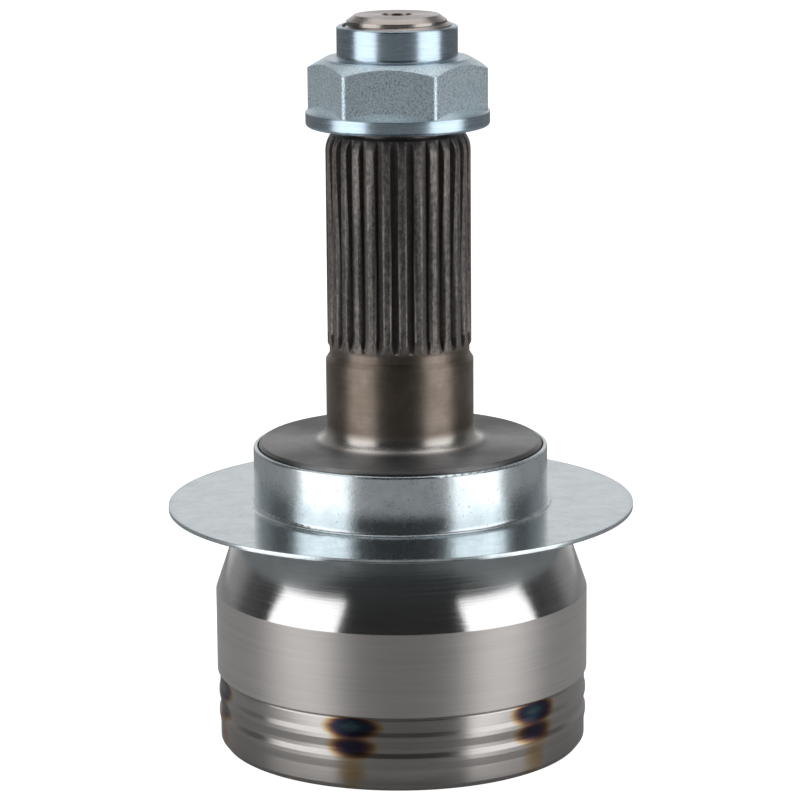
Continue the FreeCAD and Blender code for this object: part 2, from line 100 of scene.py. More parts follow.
def add_lamp(name, size, power):
    lamp = bpy.data.lights.new(name, "AREA")
    lamp.shape = "RECTANGLE"
    lamp.size, lamp.size_y = size
    lamp.energy = power
    return add_to_scene(name, lamp)


def add_node(tree, kind, settings=None, inputs=None):
    """Adds any node: its settings first, then the values or links of its sockets."""
    made = tree.nodes.new(kind)
    settings = dict(settings or {})
    for index, (at, colour) in enumerate(settings.pop("stops", ())):
        stop = made.color_ramp.elements[index] if index < 2 else made.color_ramp.elements.new(at)
        stop.position = at
        stop.color = (*colour, 1.0)
    for key, value in settings.items():
        setattr(made, key, value)
    for key, value in (inputs or {}).items():
        if isinstance(value, bpy.types.NodeSocket):
            tree.links.new(value, made.inputs[key])
        else:
            made.inputs[key].default_value = value
    return made


def grey(level):
    return (level, level, level)


def grey_stops(levels):
    """The stops of a ramp that gives a level at each place."""
    return [(at, grey(level)) for at, level in levels]


lens = bpy.data.cameras.new("studio_camera")
lens.lens = CAMERA_LENS
lens.sensor_width = SENSOR_WIDTH
lens.clip_start = 0.01
camera = add_to_scene("studio_camera", lens)
camera.matrix_world = (
    Matrix.Translation(studio_point(CAMERA_AZIMUTH, CAMERA_DISTANCE, cad_low[2] + CAMERA_HEIGHT))
    @ Matrix.Rotation(CAMERA_AZIMUTH + math.radians(90), 4, "Z")
    @ Matrix.Rotation(math.radians(90) - CAMERA_PITCH, 4, "X")
    @ Matrix.Rotation(CAMERA_ROLL, 4, "Z"))
bpy.context.scene.camera = camera
bpy.context.scene.view_settings.view_transform = "Standard"

for side in (-1, 1):
    azimuth = CAMERA_AZIMUTH + side * SOFTBOX_AZIMUTH
    softbox = add_lamp("softbox", SOFTBOX_SIZE, SOFTBOX_POWER)
    softbox.location = studio_point(azimuth, SOFTBOX_DISTANCE, SOFTBOX_HEIGHT)
    softbox.rotation_euler = (math.radians(90), 0, azimuth + math.radians(90))
panel = add_lamp("overhead_panel", PANEL_SIZE, PANEL_POWER)
panel.location = studio_point(CAMERA_AZIMUTH + math.pi, PANEL_BEHIND, PANEL_HEIGHT)
panel.rotation_euler = (0, 0, CAMERA_AZIMUTH + math.radians(90))

room = bpy.data.worlds.new("studio_room")
bpy.context.scene.world = room
room.use_nodes = True
air = room.node_tree
air.nodes.clear()
direction = add_node(air, "ShaderNodeTexCoord").outputs["Generated"]
at_wall = add_node(air, "ShaderNodeVectorMath", {"operation": "DOT_PRODUCT"}, {
    0: direction, 1: studio_point(CAMERA_AZIMUTH + math.pi, 1.0, 0.0)}).outputs["Value"]
upwards = add_node(air, "ShaderNodeSeparateXYZ", None, {0: direction}).outputs["Z"]
off_floor = add_node(air, "ShaderNodeMath", {"operation": "ADD"}, {0: upwards, 1: 1.0}).outputs[0]
from_wall = add_node(air, "ShaderNodeValToRGB", {"stops": grey_stops(WALL_LIGHT)}, {0: at_wall})
from_floor = add_node(air, "ShaderNodeValToRGB", {"stops": grey_stops(FLOOR_LIGHT)}, {0: off_floor})
room_light = add_node(air, "ShaderNodeVectorMath", {"operation": "ADD"}, {
    0: from_wall.outputs[0], 1: from_floor.outputs[0]}).outputs[0]
in_view = add_node(air, "ShaderNodeLightPath").outputs["Is Camera Ray"]
backdrop = add_node(air, "ShaderNodeMix", {"data_type": "RGBA"}, {
    0: in_view, 6: room_light, 7: (*grey(1.0), 1.0)}).outputs[2]
sky = add_node(air, "ShaderNodeBackground", None, {0: backdrop}).outputs[0]
add_node(air, "ShaderNodeOutputWorld", None, {0: sky})

bench_turn = Matrix.Rotation(CAMERA_AZIMUTH + math.radians(90), 3, "Z")
bench_corners = [(-BENCH_REACH, -BENCH_FRONT), (BENCH_REACH, -BENCH_FRONT),
                 (BENCH_REACH, BENCH_REACH), (-BENCH_REACH, BENCH_REACH)]
bench_top = bpy.data.meshes.new("bench")
bench_top.from_pydata([bench_turn @ Vector((x, y, cad_low[2] - BENCH_GAP)) for x, y in bench_corners],
                      [], [(0, 1, 2, 3)])
bench = add_to_scene("bench", bench_top)

# White paper to the camera, which throws little light up at the metal. It is clear from below, so
# that the mouth can be looked into.
bench_paint = bpy.data.materials.new("pale_bench")
bench_paint.use_nodes = True
paint = bench_paint.node_tree
paper = paint.nodes["Principled BSDF"]
paper.inputs["Base Color"].default_value = (*grey(BENCH_LIGHTNESS), 1.0)
paper.inputs["Roughness"].default_value = BENCH_ROUGHNESS
paper.inputs["Emission Color"].default_value = (*grey(1.0), 1.0)
glow = add_node(paint, "ShaderNodeLightPath").outputs["Is Camera Ray"]
paint.links.new(glow, paper.inputs["Emission Strength"])
underside = add_node(paint, "ShaderNodeNewGeometry").outputs["Backfacing"]
clear = add_node(paint, "ShaderNodeBsdfTransparent").outputs[0]
faces = add_node(paint, "ShaderNodeMixShader", None, {0: underside, 1: paper.outputs[0], 2: clear})
paint.links.new(faces.outputs[0], paint.nodes["Material Output"].inputs[0])
bench_top.materials.append(bench_paint)


# ---------------------------------------------------------------- outer race
# The forging: bell, shoulder and splined stub in one piece of induction-hardened steel, turned
# outside. Hardening the six ball tracks from inside has left temper colours on the bell.

MM = 0.001


def reach(node):
    """How far a piece of the frame goes along the axis and out from it, in millimetres."""
    places = [vert.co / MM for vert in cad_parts[node].data.vertices]
    heights, radii = [place.z for place in places], [place.xy.length for place in places]
    return {"bottom": round(min(heights), 3), "top": round(max(heights), 3),
            "inside": round(min(radii), 3), "outside": round(max(radii), 3)}


# Heights run up from the rim of the mouth
LEAD_HEIGHT = 1.1
WALL_BOTTOM, WALL_TOP = 15.5, 32.5
BELL_TOP = reach("dust_shield")["bottom"]
SHOULDER_TOP = 63.3
FILLET_TOP = 67.3
SEAT_TOP = 80.5
NECK_TOP = 83.2
SPLINE_TOP = 126.7
THREAD_RELIEF = 127.5
THREAD_END = 149.55
STUB_TOP = reach("outer_race")["top"]
DRILL_DEPTH, PILOT_DEPTH = 3.2, 6.5

# Radii
BORE_EDGE = 36.9
RIM_RADIUS = 37.02
LEAD_WIDTH = 0.85
GROOVE_RADIUS = 37.7
BELL_RADIUS = reach("outer_race")["outside"]
CONE_SLOPE = math.tan(math.radians(18.8))
SHOULDER_RADIUS = 29.4
SEAT_RADIUS = 15.1
SPLINE_CREST = 14.7
NECK_RADIUS = 14.3
THREAD_RADIUS = 11.0
THREAD_CORE = 10.05
STUB_END_RADIUS = 8.7
DRILL_RADIUS = 3.1
PILOT_RADIUS = reach("outer_race")["inside"]

# The heights between which each finish takes over from the one below it, and the bore's ends
CONE_STARTS = (WALL_TOP - 0.05, WALL_TOP + 0.05)
SHOULDER_STARTS = (BELL_TOP - 0.6, BELL_TOP - 0.1)
FILLET_STARTS = (SHOULDER_TOP + 0.2, SHOULDER_TOP + 1.0)
SEAT_STARTS = (FILLET_TOP - 2.4, FILLET_TOP + 0.3)
SPLINE_STARTS = (SEAT_TOP + 2.0, SEAT_TOP + 4.5)
STUB_END_STARTS = (SPLINE_TOP + 0.1, SPLINE_TOP + 0.2)
BORE_ENDS = (BELL_TOP - 5.6, BELL_TOP - 4.6)
CLEAN_EDGE = 0.1
DARK_SPLINE = (93.0, 113.0)
DARK_SPLINE_FADE = 7.0

BAND_STEEL = (0.52, 0.495, 0.48)
WALL_STEEL = (0.62, 0.595, 0.58)
CONE_STEEL = (0.68, 0.68, 0.675)
SHOULDER_SCALE = (0.20, 0.20, 0.205)
SHOULDER_WORN = (0.29, 0.285, 0.28)
FILLET_STEEL = (0.60, 0.57, 0.54)
SEAT_SCALE = (0.24, 0.195, 0.16)
SEAT_WORN = (0.36, 0.31, 0.27)
SPLINE_SCALE = (0.10, 0.092, 0.09)
SPLINE_WORN = (0.34, 0.305, 0.28)
STUB_END_STEEL = (0.40, 0.36, 0.34)
BORE_STEEL = (0.40, 0.40, 0.41)

# One temper mark stands over each ball track. Its colours run from bare steel to blue-grey with
# the heat, and the heat by the share of the marks' height. The width is in degrees each way.
TRACKS = 6
TEMPER_COLOURS = [(0.0, (1, 1, 1)), (0.12, (0.98, 0.92, 0.78)), (0.28, (0.86, 0.66, 0.42)),
                  (0.42, (0.52, 0.33, 0.20)), (0.56, (0.22, 0.13, 0.13)), (0.70, (0.08, 0.07, 0.13)),
                  (0.86, (0.06, 0.10, 0.15)), (1.0, (0.15, 0.25, 0.29))]
TEMPER_HEATS = [(0.0, 0.16), (0.18, 0.30), (0.32, 0.24), (0.40, 0.70), (0.48, 0.76), (0.545, 0.52),
                (0.60, 0.85), (0.66, 1.0), (0.72, 0.88), (0.745, 0.62), (0.765, 0.0)]
TEMPER_HEIGHT = 20.0
TEMPER_WIDTH = 10.6

# Depth of the relief and round of the broken edges
STEEL_RELIEF, STEEL_EDGE = 0.02, 0.15


class Mark:
    """A number or colour that changes over the metal, with the sums a maker needs."""

    def __init__(self, metal, socket):
        self.metal = metal
        self.socket = socket

    def math(self, operation, *values):
        return self.metal.node("Math", {"operation": operation}, dict(enumerate(values)))

    def __add__(self, other):
        return self.math("ADD", self, other)

    def __radd__(self, other):
        return self.math("ADD", other, self)

    def __sub__(self, other):
        return self.math("SUBTRACT", self, other)

    def __rsub__(self, other):
        return self.math("SUBTRACT", other, self)

    def __mul__(self, other):
        return self.math("MULTIPLY", self, other)

    def __rmul__(self, other):
        return self.math("MULTIPLY", other, self)

    def __truediv__(self, other):
        return self.math("DIVIDE", self, other)

    def __abs__(self):
        return self.math("ABSOLUTE", self)


class Metal:
    """A procedural metal: one shader, measured in millimetres on the piece."""

    def __init__(self, name, turned=0.0):
        self.material = bpy.data.materials.new(name)
        self.material.use_nodes = True
        self.tree = self.material.node_tree
        self.shader = self.tree.nodes["Principled BSDF"]
        self.shader.inputs["Metallic"].default_value = 1.0
        self.shader.inputs["Anisotropic"].default_value = turned
        self.shader.inputs["Anisotropic Rotation"].default_value = 0.25
        spot = self.node("TexCoord", output="Object")
        self.x, self.y, self.height = (self.node("SeparateXYZ", None, {0: spot}, output=axis) * (1 / MM)
                                       for axis in "XYZ")
        self.radius = self.node("Math", {"operation": "SQRT"}, {0: self.x * self.x + self.y * self.y})
        self.angle = self.node("Math", {"operation": "ARCTAN2"}, {0: self.y, 1: self.x})

    def node(self, kind, settings=None, inputs=None, output=0):
        """Adds a node that takes marks as well as values, and gives one of its outputs."""
        plain = {key: value.socket if isinstance(value, Mark) else value
                 for key, value in (inputs or {}).items()}
        return Mark(self, add_node(self.tree, "ShaderNode" + kind, settings, plain).outputs[output])

    def give(self, socket, mark):
        self.tree.links.new(mark.socket, self.shader.inputs[socket])

    def ramp(self, mark, stops):
        return self.node("ValToRGB", {"stops": stops}, {0: mark})

    def mix(self, share, first, second, way="MIX"):
        first, second = (value if isinstance(value, Mark) else (*value, 1.0) for value in (first, second))
        return self.node("Mix", {"data_type": "RGBA", "blend_type": way}, {0: share, 6: first, 7: second},
                         output=2)

    def rise(self, mark, start, end):
        """0 below start, 1 above end and smooth between them."""
        return self.node("MapRange", {"interpolation_type": "SMOOTHSTEP"}, {0: mark, 1: start, 2: end})

    def band(self, mark, low, high, soft):
        return self.rise(mark, low - soft, low + soft) * (1 - self.rise(mark, high - soft, high + soft))

    def noise(self, x, y, z, detail=2.0, rough=0.5):
        """Grain at a place that is given in grains, so a small scale makes a coarse grain."""
        where = self.node("CombineXYZ", None, {0: x, 1: y, 2: z})
        return self.node("TexNoise", None, {
            "Vector": where, "Scale": 1.0, "Detail": detail, "Roughness": rough})

    def relief(self, height, depth, edge):
        """Bumps of a real depth over edges that are broken to a small radius."""
        broken = self.node("Bevel", {"samples": 4}, {"Radius": edge * MM})
        self.give("Normal", self.node("Bump", None, {
            "Height": height, "Distance": depth * MM, "Normal": broken}))


steel = Metal("turned_steel", turned=0.85)
z, r, turn = steel.height, steel.radius, steel.angle

above_wall = steel.node("Math", {"operation": "MAXIMUM"}, {0: z - WALL_TOP, 1: 0.0})
depth = BORE_EDGE - above_wall * CONE_SLOPE - r
inside = steel.rise(depth, 0.0, CLEAN_EDGE) * (1 - steel.rise(z, *BORE_ENDS))
wall = steel.band(z, WALL_BOTTOM - CLEAN_EDGE, WALL_TOP, CLEAN_EDGE) * (1 - inside)
cone = steel.rise(z, *CONE_STARTS)
shoulder = steel.rise(z, *SHOULDER_STARTS)
fillet = steel.rise(z, *FILLET_STARTS)
seat = steel.rise(z, *SEAT_STARTS)
spline = steel.rise(z, *SPLINE_STARTS)
stub_end = steel.rise(z, *STUB_END_STARTS)

# Tool lines run round the axis. Clouds, specks and scuffs lie all over.
lathe = steel.noise(z * 5.5, r * 5.5, turn * 0.9, detail=3.0, rough=0.65)
groove = steel.noise(z * 1.9, r * 1.9, turn * 0.8, detail=3.0, rough=0.7)
wander = steel.noise(z * 0.5, turn * 1.6, 3.0, detail=3.0)
cloud = steel.noise(steel.x * 0.16, steel.y * 0.16, z * 0.16, detail=4.0, rough=0.6)
speck = steel.noise(steel.x * 2.6, steel.y * 2.6, z * 2.6, detail=2.0, rough=0.7)
streak = steel.noise(steel.x * 1.1, steel.y * 1.1, z * 0.2, detail=4.0, rough=0.65)
scuff = steel.noise(steel.x * 1.5, steel.y * 1.5, z * 0.9, detail=5.0, rough=0.75)

crest = steel.rise(r, SPLINE_CREST - 0.55, SPLINE_CREST - 0.08)
dark_middle = steel.band(z, *DARK_SPLINE, DARK_SPLINE_FADE)
wear = steel.rise(streak * 0.3 + scuff * 0.7 - dark_middle * 0.06, 0.34, 0.66) * (0.30 + crest * 0.70)
spline_colour = steel.mix(wear, SPLINE_SCALE, SPLINE_WORN)
seat_colour = steel.mix(steel.rise(cloud, 0.35, 0.7) * 0.6, SEAT_SCALE, SEAT_WORN)
shoulder_colour = steel.mix(steel.rise(cloud, 0.35, 0.65) * 0.55, SHOULDER_SCALE, SHOULDER_WORN)
colour = BAND_STEEL
for zone, tone in ((wall, WALL_STEEL), (cone, CONE_STEEL), (shoulder, shoulder_colour),
                   (fillet, FILLET_STEEL), (seat, seat_colour), (spline, spline_colour),
                   (stub_end, STUB_END_STEEL), (inside, BORE_STEEL)):
    colour = steel.mix(zone, colour, tone)

sector = turn / (2 * math.pi / TRACKS)
off_track = abs(sector - steel.node("Math", {"operation": "ROUND"}, {0: sector})) * (360 / TRACKS)
off_track = (off_track + (cloud - 0.5) * 3.0 + (wander - 0.5) * 2.0) / TEMPER_WIDTH
heat = steel.ramp(z / TEMPER_HEIGHT, grey_stops(TEMPER_HEATS)) - off_track * off_track
heat = heat * (1 - inside) * (1 - shoulder)
colour = steel.mix(1.0, colour, steel.ramp(heat, TEMPER_COLOURS), "MULTIPLY")

lines = (0.78 + lathe * 0.2 + groove * 0.24) * (0.94 + wander * 0.12)
colour = steel.mix(1.0, colour, steel.node("CombineXYZ", None, {0: lines, 1: lines, 2: lines}), "MULTIPLY")
steel.give("Base Color", colour)

rough = 0.32 + wall * 0.21 - cone * 0.14 + shoulder * 0.27 - fillet * 0.17
rough = rough + seat * 0.20 + spline * 0.02 - stub_end * 0.26
rough = rough + (lathe - 0.5) * 0.16 + (speck - 0.5) * 0.06 - inside * 0.12
steel.give("Roughness", rough)
steel.give("Metallic", 1 - wall * 0.3 - (spline - stub_end) * 0.4)
surface = lathe * 0.25 + groove * (1 - shoulder) * 0.7 + speck * shoulder * 0.7 + scuff * spline * 1.5
steel.relief(surface, STEEL_RELIEF, STEEL_EDGE)

# Slack when corners are picked, and the depth of the skin that is turned again
MERGE = 0.001 * MM
SLACK = 0.01
SKIN = 0.12
STUB_SIDES = 96
TURNED_SIDES = 160
# Turn between two points of a rounding, and the straight support on either side of it
ARC_STEP = math.radians(11)
SUPPORT = 0.06
SHARP_EDGE = math.radians(16)
# Radius, height and edge round of each corner, from the mouth to the neck: the lead-in, the band
# with its two boot grooves, the wall, the cone, the shoulder, the bearing seat and the neck
TURNED_PROFILE = [
    (RIM_RADIUS - 0.05, 0.0, 0.0), (RIM_RADIUS, 0.0, 0.0), (RIM_RADIUS + LEAD_WIDTH, LEAD_HEIGHT, 0.3),
    (37.87, 4.35, 0.5), (38.15, 6.05, 0.25), (38.15, 6.95, 0.22), (37.76, 7.9, 0.4),
    (37.76, 8.7, 0.5), (38.15, 10.4, 0.25), (38.15, 11.3, 0.22), (37.9, 12.25, 0.4),
    (37.9, 14.6, 0.15), (37.8, 14.9, 0.1), (BELL_RADIUS, WALL_BOTTOM, 0.16), (BELL_RADIUS, WALL_TOP, 0.3),
    (32.58, BELL_TOP, 0.0), (SHOULDER_RADIUS, BELL_TOP, 0.0), (SHOULDER_RADIUS, 61.5, 0.0), (29.1, 61.9, 0.0),
    (29.1, 62.7, 0.4), (28.5, SHOULDER_TOP, 0.5), (SEAT_RADIUS, SHOULDER_TOP, 4.0),
    (SEAT_RADIUS, SEAT_TOP, 0.3), (NECK_RADIUS, 81.8, 0.4), (NECK_RADIUS, NECK_TOP - 0.05, 0.0)]
# Radius and height of each corner, from the end of the spline to the tip of the centre drill
END_PROFILE = [
    (THREAD_RADIUS - 0.4, SPLINE_TOP + 0.05), (THREAD_CORE + 0.1, SPLINE_TOP + 0.4),
    (THREAD_CORE, THREAD_RELIEF), (THREAD_CORE, THREAD_END), (STUB_END_RADIUS + 0.15, STUB_TOP - 0.2),
    (STUB_END_RADIUS - 0.1, STUB_TOP), (DRILL_RADIUS + 0.1, STUB_TOP), (DRILL_RADIUS - 0.1, STUB_TOP - 0.15),
    (PILOT_RADIUS, STUB_TOP - DRILL_DEPTH), (PILOT_RADIUS, STUB_TOP - PILOT_DEPTH)]


def eased(corners):
    """The points of a profile, with each corner rounded by an arc between two support points."""
    points = [Vector(corners[0][:2])]
    for before, corner, after in zip(corners, corners[1:], corners[2:]):
        place, rounding = Vector(corner[:2]), corner[2]
        if rounding == 0:
            points.append(place)
            continue
        back = (Vector(before[:2]) - place).normalized()
        ahead = (Vector(after[:2]) - place).normalized()
        bend = math.pi - back.angle(ahead)
        setback = rounding * math.tan(bend / 2)
        middle = place + (back + ahead).normalized() * rounding / math.cos(bend / 2)
        first, last = (place + way * setback - middle for way in (back, ahead))
        points.append(place + back * (setback + SUPPORT))
        steps = max(2, math.ceil(bend / ARC_STEP))
        for step in range(steps + 1):
            along = bend * step / steps
            spoke = first * math.sin(bend - along) + last * math.sin(along)
            points.append(middle + spoke / math.sin(bend))
        points.append(place + ahead * (setback + SUPPORT))
    return points + [Vector(corners[-1][:2])]


def is_turned_outside(vert):
    """Whether a corner of the forging lies on its turned outside, below the spline."""
    height, radius = vert.co.z / MM, vert.co.xy.length / MM
    if height > NECK_TOP + SLACK:
        return False
    if height > BELL_TOP - 0.2:
        return True
    lead = RIM_RADIUS + min(height, LEAD_HEIGHT) * LEAD_WIDTH / LEAD_HEIGHT
    outside = min(lead, GROOVE_RADIUS) - max(height - WALL_TOP, 0) * CONE_SLOPE
    return radius > outside - SKIN


def is_plain_end(vert):
    """Whether a corner of the forging lies on the plain end that carries the thread."""
    return vert.co.z > (SPLINE_TOP - SLACK) * MM and vert.co.xy.length < (THREAD_RADIUS + SLACK) * MM


def delete_faces(solid, is_old):
    """Deletes the faces whose corners are all on a surface that is made again."""
    old = [face for face in solid.faces if all(is_old(vert) for vert in face.verts)]
    bmesh.ops.delete(solid, geom=old, context="FACES")


def add_rings(solid, points, sides):
    """Turns a profile into rings of corners, joins them and gives back the rings."""
    rings = []
    for radius, height in points:
        rings.append([solid.verts.new((radius * MM * math.cos(2 * math.pi * step / sides),
                                       radius * MM * math.sin(2 * math.pi * step / sides), height * MM))
                      for step in range(sides)])
    for lower, upper in zip(rings, rings[1:]):
        for step in range(sides):
            after = (step + 1) % sides
            solid.faces.new((lower[step], lower[after], upper[after], upper[step]))
    return rings


def ring_edges(solid, ring):
    return [solid.edges.get((ring[step], ring[(step + 1) % len(ring)])) for step in range(len(ring))]


def open_rim(solid, height):
    """The open edges that lie at one height."""
    return [edge for edge in solid.edges
            if edge.is_boundary and all(abs(vert.co.z / MM - height) < 0.1 for vert in edge.verts)]


def finish_piece(piece, metal, body):
    """Dresses a piece, smooths all but its sharp edges and hangs it on its body."""
    piece.data.materials.clear()
    piece.data.materials.append(metal.material)
    piece.data.shade_smooth()
    piece.data.set_sharp_from_angle(angle=SHARP_EDGE)
    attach(piece, body)


forging = bmesh.new()
forging.from_mesh(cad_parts["outer_race"].data)
bmesh.ops.remove_doubles(forging, verts=forging.verts, dist=MERGE)
delete_faces(forging, is_plain_end)
delete_faces(forging, is_turned_outside)
stub_rim, mouth_rim, neck_rim = (open_rim(forging, height) for height in (SPLINE_TOP, 0.0, NECK_TOP))
end_rings = add_rings(forging, END_PROFILE, STUB_SIDES)
outside_rings = add_rings(forging, eased(TURNED_PROFILE), TURNED_SIDES)
drill_tip = forging.verts.new((0, 0, (STUB_TOP - PILOT_DEPTH) * MM))
for step in range(STUB_SIDES):
    forging.faces.new((end_rings[-1][step], end_rings[-1][(step + 1) % STUB_SIDES], drill_tip))
for rim, ring in ((stub_rim, end_rings[0]), (mouth_rim, outside_rings[0]), (neck_rim, outside_rings[-1])):
    bmesh.ops.bridge_loops(forging, edges=rim + ring_edges(forging, ring))
bmesh.ops.recalc_face_normals(forging, faces=forging.faces)
race_mesh = bpy.data.meshes.new("forged_race")
forging.to_mesh(race_mesh)
forging.free()
forged_race = add_to_scene("forged_race", race_mesh)
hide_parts("outer_race")
finish_piece(forged_race, steel, "outer_race")


# ---------------------------------------------------------------- stub thread
# The right-hand M22 x 1.5 thread of the stub: one ridge that winds up the core and fades out at
# both ends, as a die leaves it. It is of one piece with the forging.

THREAD_PITCH = 1.5
THREAD_TURNS = 14.6
THREAD_START = THREAD_END - THREAD_TURNS * THREAD_PITCH
THREAD_ROOT, THREAD_CREST = 1.3, 0.2
THREAD_STEPS = 72
# Share of its length over which the ridge fades at each end, and what is left of it there
THREAD_FADE = 0.035
THREAD_TIP = 0.05


class Tree:
    """A Geometry Nodes tree with named inputs for its sizes."""

    def __init__(self, name, sizes):
        self.group = bpy.data.node_groups.new(name, "GeometryNodeTree")
        self.group.interface.new_socket("Geometry", in_out="OUTPUT", socket_type="NodeSocketGeometry")
        self.sockets = {}
        for size, kind in sizes.items():
            made = self.group.interface.new_socket(size, in_out="INPUT", socket_type=f"NodeSocket{kind}")
            self.sockets[size] = made.identifier
        self.given = self.group.nodes.new("NodeGroupInput").outputs
        self.result = self.group.nodes.new("NodeGroupOutput").inputs[0]

    def node(self, kind, settings=None, inputs=None):
        return add_node(self.group, kind, settings, inputs).outputs[0]

    def times(self, first, second):
        return self.node("ShaderNodeMath", {"operation": "MULTIPLY"}, {0: first, 1: second})

    def along(self, axis, amount):
        """A move along one axis, or a turn about it. 0 is X and 2 is Z."""
        return self.node("ShaderNodeCombineXYZ", None, {axis: amount})

    def finish(self, geometry, metal):
        whole = self.node("GeometryNodeRealizeInstances", None, {0: geometry})
        dressed = self.node("GeometryNodeSetMaterial", None, {0: whole, "Material": metal.material})
        self.group.links.new(dressed, self.result)

    def make(self, name, values):
        """The plain mesh that the tree gives for one set of sizes."""
        carrier = add_to_scene(name, bpy.data.meshes.new(name))
        modifier = carrier.modifiers.new(name, "NODES")
        modifier.node_group = self.group
        for size, value in values.items():
            modifier[self.sockets[size]] = value
        shaped = carrier.evaluated_get(bpy.context.evaluated_depsgraph_get())
        mesh = bpy.data.meshes.new_from_object(shaped)
        carrier.modifiers.remove(modifier)
        carrier.data = mesh
        return carrier


# Facing is 1 for a ridge that stands outwards from its core and -1 for one that stands inwards
thread = Tree("screw_thread", {
    "Radius": "Float", "Pitch": "Float", "Turns": "Float", "Depth": "Float", "Root Width": "Float",
    "Crest Width": "Float", "Start Height": "Float", "Steps": "Int", "Fade": "Float", "Facing": "Float"})
given = thread.given
helix = thread.node("GeometryNodeCurveSpiral", None, {
    "Resolution": given["Steps"], "Rotations": given["Turns"], "Start Radius": given["Radius"],
    "End Radius": given["Radius"], "Height": thread.times(given["Pitch"], given["Turns"]), "Reverse": True})
upright = thread.node("GeometryNodeSetCurveNormal", {"mode": "Z_UP"}, {0: helix})
section = thread.node("GeometryNodeCurvePrimitiveQuadrilateral", {"mode": "TRAPEZOID"}, {
    "Height": given["Depth"], "Bottom Width": given["Root Width"], "Top Width": given["Crest Width"],
    "Offset": 0.0})
outwards = thread.times(thread.times(given["Depth"], 0.5), given["Facing"])
on_root = thread.node("GeometryNodeTransform", None, {
    "Geometry": section, "Translation": thread.along(0, outwards),
    "Rotation": thread.along(2, thread.times(given["Facing"], -math.pi / 2))})
place = thread.node("GeometryNodeSplineParameter")
from_end = thread.node("ShaderNodeMath", {"operation": "PINGPONG"}, {0: place, 1: 0.5})
fade = thread.node("ShaderNodeMapRange", None, {0: from_end, 2: given["Fade"], 3: THREAD_TIP})
ridge = thread.node("GeometryNodeCurveToMesh", None, {
    "Curve": upright, "Profile Curve": on_root, "Scale": fade, "Fill Caps": True})
raised = thread.node("GeometryNodeTransform", None, {
    "Geometry": ridge, "Translation": thread.along(2, given["Start Height"])})
thread.finish(raised, steel)

stub_thread = thread.make("stub_thread", {
    "Radius": THREAD_CORE * MM, "Pitch": THREAD_PITCH * MM, "Turns": THREAD_TURNS,
    "Depth": (THREAD_RADIUS - THREAD_CORE) * MM, "Root Width": THREAD_ROOT * MM,
    "Crest Width": THREAD_CREST * MM, "Start Height": THREAD_START * MM,
    "Steps": THREAD_STEPS, "Fade": THREAD_FADE, "Facing": 1.0})
finish_piece(stub_thread, steel, "outer_race")


# ---------------------------------------------------------------- dust shield
# One pressing of thin zinc-plated sheet, pushed on the shoulder. Its plate is pale and satin, and
# a little duller and speckled towards the cut edge of the flange.

SHEET_BOTTOM = reach("dust_shield")["bottom"]
FLANGE_RADIUS = reach("dust_shield")["outside"]
COLLAR_OUTSIDE = 30.2
SHEET_ZINC = (0.69, 0.755, 0.785)
SHEET_SHADE = (0.50, 0.575, 0.61)
SHEET_PIT = grey(0.18)
SHEET_RELIEF, SHEET_EDGE = 0.008, 0.2


def dress(node, metal):
    """Gives a piece of the frame its metal."""
    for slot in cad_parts[node].material_slots:
        slot.material = metal.material


sheet = Metal("zinc_sheet", turned=0.35)
plating = sheet.noise(sheet.x * 0.22, sheet.y * 0.22, sheet.height * 0.22, detail=5.0, rough=0.6)
grain = sheet.noise(sheet.x * 2.2, sheet.y * 2.2, sheet.height * 2.2, detail=3.0, rough=0.7)
drawn = sheet.noise(sheet.height * 4.0, sheet.radius * 4.0, sheet.angle * 1.2, detail=2.0)
pit = sheet.rise(sheet.noise(sheet.x * 1.3, sheet.y * 1.3, sheet.height * 1.3, detail=1.0), 0.70, 0.76)
cut_edge = sheet.rise(sheet.radius, FLANGE_RADIUS - 1.2, FLANGE_RADIUS)
under = 1 - sheet.rise(sheet.height, SHEET_BOTTOM + 0.1, SHEET_BOTTOM + 0.4)
collar = 1 - sheet.rise(sheet.radius, COLLAR_OUTSIDE + 0.1, COLLAR_OUTSIDE + 0.6)
dull = sheet.rise(plating, 0.3, 0.75) * 0.6 + cut_edge * 0.3 + (grain - 0.5) * 0.5
coat = sheet.mix(dull, SHEET_ZINC, SHEET_SHADE)
sheet.give("Base Color", sheet.mix(pit * 0.45, coat, SHEET_PIT))
satin = 0.16 + collar * 0.10 - under * 0.06 + cut_edge * 0.08
sheet.give("Roughness", satin + (plating - 0.5) * 0.12 + (grain - 0.5) * 0.08)
sheet.relief((grain * 0.7 + drawn * 0.3 + plating * 4) * (1 - under), SHEET_RELIEF, SHEET_EDGE)
dress("dust_shield", sheet)


# ---------------------------------------------------------------- axle nut
# A flanged hexagon nut, forged, turned on its flange and collar, and zinc plated all over. The
# forged flats keep a coarse grain under the plate, and the turned parts keep their tool lines.

NUT_BOTTOM = reach("axle_nut")["bottom"]
NUT_BORE = reach("axle_nut")["inside"]
NUT_CREST = 10.3
HEX_BOTTOM, HEX_TOP = 3.2, 13.7
HEX_INNER = 14.9
NUT_ZINC = (0.70, 0.85, 0.93)
NUT_DARK = (0.30, 0.41, 0.49)
NUT_LIGHT = (0.88, 0.97, 1.0)
NUT_LINE_DARK = (0.38, 0.50, 0.60)
NUT_LINE_LIGHT = (0.56, 0.67, 0.74)
NUT_RELIEF, NUT_EDGE = 0.02, 0.35

